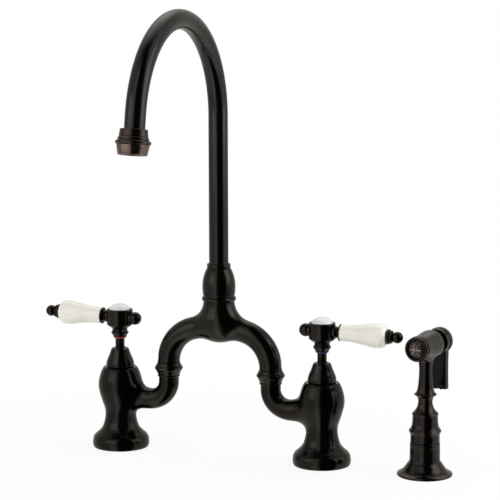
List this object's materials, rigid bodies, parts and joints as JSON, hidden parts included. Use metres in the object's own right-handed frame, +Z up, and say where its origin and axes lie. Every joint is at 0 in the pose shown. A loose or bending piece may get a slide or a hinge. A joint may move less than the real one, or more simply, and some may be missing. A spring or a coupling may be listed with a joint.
{
  "type": "two handle kitchen faucet",
  "caption": "Bridge kitchen faucet: two lever valves on turned posts, an arched bridge, a swivelling gooseneck spout and a separate lift-out side sprayer.",
  "frame": {"origin": "on the deck, under the middle of the outline of the faucet and its sprayer together", "axes": "+Z up, -Y towards the user (the way the spout reaches), +X from the hot valve to the cold valve and on to the sprayer"},
  "size_m": [0.4054, 0.234, 0.4195],
  "materials": {
    "bronze": "dark oiled bronze, satin gloss",
    "porcelain": "white glazed porcelain",
    "brass": "plain machined brass",
    "ceramic_disc": "lapped ceramic",
    "rubber": "matt",
    "nylon": "natural nylon",
    "dark_nylon": "dark nylon",
    "steel": "stainless",
    "red_ring": "gloss",
    "blue_ring": "gloss"
  },
  "bodies": {
    "base": {"hot_body": "bronze", "hot_union_nut": "bronze", "hot_union_washer": "rubber", "hot_bonnet": "bronze", "hot_cartridge": "brass", "hot_fixed_disc": "ceramic_disc", "hot_seat_seal": "rubber", "cold_body": "bronze", "cold_union_nut": "bronze", "cold_union_washer": "rubber", "cold_bonnet": "bronze", "cold_cartridge": "brass", "cold_fixed_disc": "ceramic_disc", "cold_seat_seal": "rubber", "bridge": "bronze", "spout_nut": "bronze", "spout_bearing_ring": "nylon", "spray_holder": "bronze", "spray_holder_liner": "nylon"},
    "spout": {"spout_tube": "bronze", "spout_lower_o_ring": "rubber", "spout_upper_o_ring": "rubber", "outlet_bell": "bronze", "aerator_washer": "rubber", "aerator_housing": "steel", "aerator_screen": "dark_nylon"},
    "hot_handle": {"hot_stem": "brass", "hot_moving_disc": "ceramic_disc", "hot_stem_o_ring": "rubber", "hot_colour_ring": "red_ring", "hot_hub": "bronze", "hot_set_screw": "steel", "hot_button": "porcelain", "hot_lever_collar": "bronze", "hot_porcelain_lever": "porcelain", "hot_finial": "bronze", "hot_knob": "bronze", "hot_tie_rod": "brass"},
    "cold_handle": {"cold_stem": "brass", "cold_moving_disc": "ceramic_disc", "cold_stem_o_ring": "rubber", "cold_colour_ring": "blue_ring", "cold_hub": "bronze", "cold_set_screw": "steel", "cold_button": "porcelain", "cold_lever_collar": "bronze", "cold_porcelain_lever": "porcelain", "cold_finial": "bronze", "cold_knob": "bronze", "cold_tie_rod": "brass"},
    "hose": {"hose_coupling": "brass"},
    "sprayer": {"spray_handle": "bronze", "spray_head": "bronze", "spray_face": "dark_nylon", "spray_face_ring": "bronze", "trigger_pin": "steel", "valve_spring": "steel"},
    "trigger": {"trigger": "bronze"},
    "plunger": {"valve_plunger": "brass"}
  },
  "joints": [
    {"name": "spout_swivel", "type": "hinge", "parent": "base", "child": "spout", "pos_m": [-0.02392, 0.08676, 0.15], "axis": [0, 0, 1], "continuous": true},
    {"name": "hot_handle_turn", "type": "hinge", "parent": "base", "child": "hot_handle", "pos_m": [-0.12552, 0.08676, 0.1], "axis": [0, 0, 1], "range_deg": [0, 90]},
    {"name": "cold_handle_turn", "type": "hinge", "parent": "base", "child": "cold_handle", "pos_m": [0.07767, 0.08676, 0.1], "axis": [0, 0, 1], "range_deg": [-90, 0]},
    {"name": "spray_lift", "type": "slide", "parent": "base", "child": "hose", "axis": [0, 0, 1], "range_m": [0, 0.12]},
    {"name": "spray_turn", "type": "hinge", "parent": "hose", "child": "sprayer", "pos_m": [0.17758, 0.08276, 0.03], "axis": [0, 0, 1], "range_deg": [-25, 25]},
    {"name": "trigger_pull", "type": "hinge", "parent": "sprayer", "child": "trigger", "pos_m": [0.18117, 0.10709, 0.126], "axis": [-0.9893, 0.1461, 0], "range_deg": [0, 12], "stiffness_Nm_per_rad": 0.4, "springref_deg": -5.73},
    {"name": "plunger_slide", "type": "slide", "parent": "sprayer", "child": "plunger", "axis": [-0.1461, -0.9893, 0], "range_m": [0, 0.0016], "deforming": ["valve_spring"]}
  ],
  "couplings": [
    {"joint": "plunger_slide", "follows": "trigger_pull", "m_per_rad": 0.0074}
  ]
}
